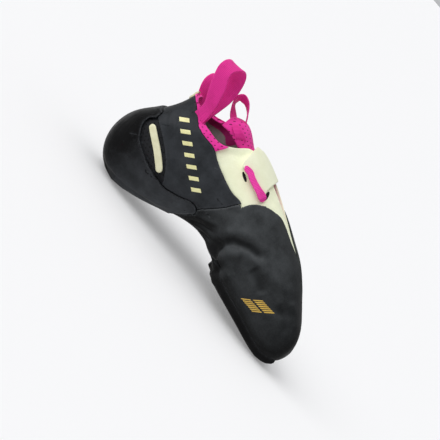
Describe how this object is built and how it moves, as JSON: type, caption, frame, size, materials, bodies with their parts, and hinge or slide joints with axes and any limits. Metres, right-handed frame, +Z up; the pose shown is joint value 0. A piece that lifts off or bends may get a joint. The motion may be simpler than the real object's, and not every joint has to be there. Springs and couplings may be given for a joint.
{
  "type": "climbing shoe",
  "caption": "Left climbing shoe, downturned, with rubber heel cup and forefoot rand, instep strap, padded tongue and webbing pull loops; rests on heel and forefoot.",
  "frame": {"origin": "middle of the heel's flat spot on the floor", "axes": "+X along the shoe to the toe, +Y to the outer (lateral) side, +Z up"},
  "size_m": [0.2298, 0.088, 0.1383],
  "materials": {
    "leather": "pale yellow-green microfibre leather, fine grain",
    "rubber": "black climbing rubber, dusty and lightly scuffed",
    "webbing": "magenta woven webbing and knit",
    "print": "pale yellow raised print",
    "board": "grey felted insole board"
  },
  "bodies": {
    "root": {"upper": "leather", "insole": "board", "toe_rand": "rubber", "outsole": "rubber", "heel_cup": "rubber", "heel_band": "rubber", "heel_bar_medial": "print", "heel_bar_lateral": "print", "collar": "webbing", "tongue": "webbing", "tongue_loop": "webbing", "pull_loop_medial": "webbing", "pull_loop_lateral": "webbing", "strap": "leather", "strap_webbing": "webbing"}
  },
  "joints": []
}
